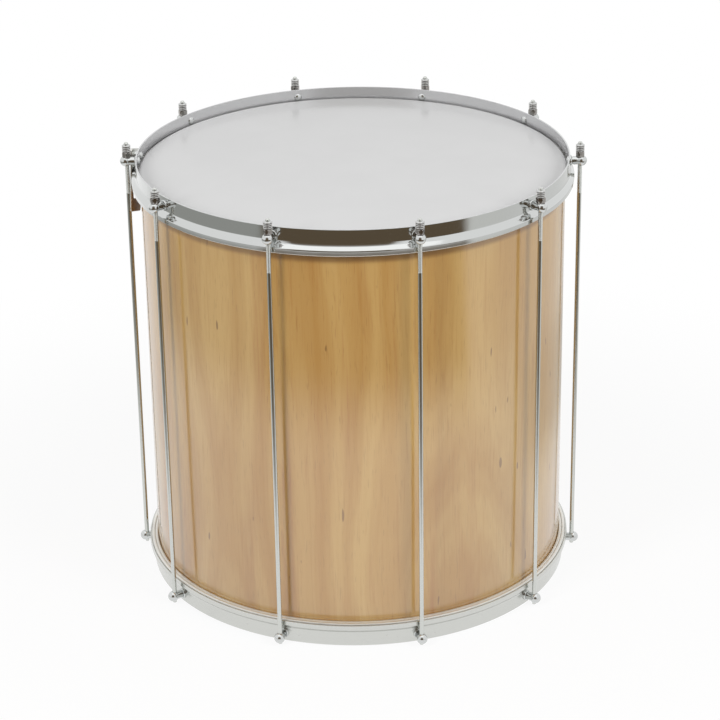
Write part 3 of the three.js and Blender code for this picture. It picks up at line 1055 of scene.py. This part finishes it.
def boltPieces(sizes):
    shank, sleeve, bore = sizes["shank"], sizes["sleeve"], sizes["sleeveBore"]
    inner, seam = lugSizes["wallInside"], layout["seam"]
    outer = plateSizes["inside"] + plateSizes["thickness"] + seam
    head = dome(sizes["head"], sizes["headHeight"])
    outline = [(r, inner - h) for r, h in head] + [(shank, inner), (shank, outer)]
    outline += [(r, outer + h) for r, h in head[::-1]]
    boltMesh = revolve("bolt", outline, sizes["columns"], False)
    near, far = lugSizes["wallOutside"] + seam, plateSizes["inside"] - seam
    corners = [(bore, near), (sleeve, near), (sleeve, far), (bore, far)]
    sleeveMesh = revolve("sleeve", softened(corners, sizes["radii"]), sizes["columns"])
    place = (Matrix.Rotation(plateAngle, 4, "Z") @ Matrix.Translation((0, 0, upperLugZ * mm))
             @ Matrix.Rotation(math.pi / 2, 4, "X"))
    for name, mesh, node in (("strapBolt", boltMesh, "strap_bracket_bolt"),
                             ("strapSleeve", sleeveMesh, "strap_bracket_spacer")):
        mesh.transform(place)
        newPiece(name, mesh, hoopBody, "lug", [node])


platePiece(plateSizes)
boltPieces(boltSizes)
print("strap plate made")

for name in ("batter_reinforcement_ring", "bottom_reinforcement_ring"):
    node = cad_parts[name]
    node.data.materials.clear()
    node.data.materials.append(finishes["ring"])


# Studio, in metres; turns run from the front towards the right

white = (1.0, 1.0, 1.0, 1.0)
floorLook = {
    "size": 14.0,
    "drop": 0.0004,         # under the drum's own rim
    "shade": (0.86, 0.86, 0.86, 1.0),
    "glow": 0.9,            # share of white near the drum, which grows to all of it
    "glowNear": 0.35,
    "glowFar": 0.9,
}


def seenWhite(maker):
    # the viewer, mirrors and clear pieces see plain white; everything else sees the shade
    seen = maker.node("ShaderNodeLightPath", output="Is Camera Ray")
    for ray in ("Is Glossy Ray", "Is Transmission Ray"):
        seen = maker.maths("MAXIMUM", seen, maker.node("ShaderNodeLightPath", output=ray))
    return seen


def makeFloor(look):
    def mixed(maker, place):
        matte = maker.node("ShaderNodeBsdfDiffuse", None, {"Color": look["shade"]})
        glow = maker.node("ShaderNodeEmission", None, {"Color": white, "Strength": 1.0})
        away = maker.node("ShaderNodeVectorMath", {"operation": "LENGTH"}, [place], output="Value")
        clean = maker.spread(away, look["glowNear"], look["glowFar"]) * (1 - look["glow"])
        return [seenWhite(maker) * (look["glow"] + clean), matte, glow]

    half = look["size"] / 2
    corners = [(-half, -half, 0), (half, -half, 0), (half, half, 0), (-half, half, 0)]
    mesh = bpy.data.meshes.new("floor")
    mesh.from_pydata(corners, [], [(0, 1, 2, 3)])
    mesh.materials.append(mixedMaterial("paleFloor", mixed))
    floor = newObject("floor", mesh)
    floor.location.z = -look["drop"]


roomLook = {
    "reach": 3.2,
    "height": 6.0,
    "inner": 0.3,           # its floor starts this far out
    "floorZ": 0.002,
    "firstTurn": -135,      # degrees
    "sweep": 310,
    "steps": 96,
    "frontTone": linear(100, 87, 70),
    "leftTone": linear(164, 165, 161),
    "rightTone": linear(222, 222, 219),
    "backTone": linear(203, 203, 200),
    "frontTurns": (-44.0, 52.0),
    "doorTurns": (-30.0, 18.0),     # between these it stands above the floor
    "leftFade": 0.05,       # radians
    "rightFade": 0.14,
    "doorFade": 0.12,
    "behind": (1.2, 1.8),
    "openLeft": (-2.3, -1.8),
    "openRight": (3.0, 2.7),
    "sideFade": 0.2,
    "pale": (0.62, 1.12),   # where the pale floor gives way to it
    "rearPale": (0.35, 0.55),       # the same behind the drum
    "rearFade": (0.7, 1.0),         # and where it grows thin again
    "rearThin": 0.5,
    "skirting": 0.3,        # elsewhere it fades over this height
    "doorTop": 5.0,         # the door fades over this much below the room's top
}


def makeRoom(look):
    # the dim room round the pale floor, which only shows in reflections
    high = look["height"]

    def mixed(maker, place):
        x, y, z = (maker.apart(place, axis) for axis in range(3))
        away, turn = maker.fromAxis(x, y), maker.maths("ARCTAN2", x, y * -1.0)
        left, right = (math.radians(edge) for edge in look["frontTurns"])
        fade, rightFade, doorFade = look["leftFade"], look["rightFade"], look["doorFade"]
        front = maker.spread(turn, left - fade, left + fade) * maker.spread(turn, right + rightFade, right)
        left, right = (math.radians(edge) for edge in look["doorTurns"])
        door = maker.spread(turn, left - doorFade, left) * maker.spread(turn, right + doorFade, right)
        behind = maker.spread(turn, *look["behind"])
        rightwards = maker.spread(x, -look["sideFade"], look["sideFade"])
        sides = maker.blend(rightwards, look["leftTone"], look["rightTone"])
        sides = maker.blend(behind, sides, look["backTone"])
        tone = maker.blend(front, sides, look["frontTone"])
        ahead = maker.spread(away, *look["pale"])
        thin = maker.spread(away, *look["rearFade"]) * look["rearThin"]
        rear = maker.spread(away, *look["rearPale"]) * (1.0 - thin)
        low = maker.spread(z, look["skirting"], 0.0)
        stands = maker.spread(z, high, high - look["doorTop"]) * door
        shown = (ahead + (rear - ahead) * behind) * (low + stands * (1.0 - low))
        shown = shown * (maker.spread(turn, *look["openLeft"]) * maker.spread(turn, *look["openRight"]))
        clear = maker.node("ShaderNodeBsdfTransparent")
        glow = maker.node("ShaderNodeEmission", None, {"Color": tone, "Strength": 1.0})
        return [shown, clear, glow]

    steps = look["steps"]
    rows = [(look["inner"], look["floorZ"]), (look["reach"], look["floorZ"]), (look["reach"], high)]
    points, faces = [], []
    for step in range(steps + 1):
        turn = math.radians(look["firstTurn"] + look["sweep"] * step / steps)
        points += [(radius * math.sin(turn), -radius * math.cos(turn), z) for radius, z in rows]
    for step in range(steps):
        for row in range(len(rows) - 1):
            corner = step * len(rows) + row
            faces.append((corner, corner + 1, corner + len(rows) + 1, corner + len(rows)))
    mesh = bpy.data.meshes.new("dimRoom")
    mesh.from_pydata(points, [], faces)
    mesh.materials.append(mixedMaterial("dimRoom", mixed))
    room = newObject("dimRoom", mesh)
    room.visible_camera = False
    room.visible_diffuse = False
    room.visible_shadow = False
    room.visible_transmission = False


ambient = 0.36              # strength of the light from all round


def makeWorld(strength):
    world = bpy.data.worlds.new("studio")
    bpy.context.scene.world = world
    world.use_nodes = True
    world.node_tree.nodes.clear()
    maker = Maker(world.node_tree)
    soft, plain = (maker.node("ShaderNodeBackground", None, {"Color": white, "Strength": amount})
                   for amount in (strength, 1.0))
    both = maker.node("ShaderNodeMixShader", None, [seenWhite(maker), soft, plain])
    maker.node("ShaderNodeOutputWorld", None, [both])


lampSizes = {
    "overhead": {"place": (0, -0.5, 2.6), "aim": (0, 0, 0.4), "size": (2.6, 2.6), "power": 7.5},
    "boxes": {                  # direction, power and width
        "leftBox": (-41.5, 47.0, 0.7),
        "rightBox": (49.0, 48.0, 1.2),
    },
    "boxTall": 1.2,
    "boxAway": 2.7,
    "boxHigh": 1.75,
    "boxAim": (0, 0, 0.3),
}


def areaLamp(name, place, aim, size, power):
    data = bpy.data.lights.new(name, "AREA")
    data.shape = "RECTANGLE"
    data.size, data.size_y = size
    data.energy = power
    lamp = newObject(name, data)
    lamp.location = place
    lamp.rotation_euler = (Vector(aim) - Vector(place)).to_track_quat("-Z", "Y").to_euler()
    return lamp


def makeLamps(sizes):
    areaLamp("overhead", **sizes["overhead"])
    away = sizes["boxAway"]
    for name, (turn, power, width) in sizes["boxes"].items():
        turn = math.radians(turn)
        place = (away * math.sin(turn), -away * math.cos(turn), sizes["boxHigh"])
        box = areaLamp(name, place, sizes["boxAim"], (width, sizes["boxTall"]), power)
        box.visible_glossy = False


view = {
    "place": (0.004631, -2.52756, 1.34649),
    "down": 23.873,
    "roll": -0.8689,
    "lens": 124.91,
    "sensor": 36,
    "farthest": 100,
}


def makeCamera(sizes):
    data = bpy.data.cameras.new("camera")
    data.lens = sizes["lens"]
    data.sensor_width = sizes["sensor"]
    data.clip_end = sizes["farthest"]
    camera = newObject("camera", data)
    turn = (Matrix.Rotation(math.radians(90 - sizes["down"]), 4, "X")
            @ Matrix.Rotation(math.radians(sizes["roll"]), 4, "Z"))
    camera.matrix_world = Matrix.Translation(sizes["place"]) @ turn
    bpy.context.scene.camera = camera


makeFloor(floorLook)
makeRoom(roomLook)
makeWorld(ambient)
makeLamps(lampSizes)
makeCamera(view)
bpy.context.scene.view_settings.view_transform = "Standard"
print("studio made")
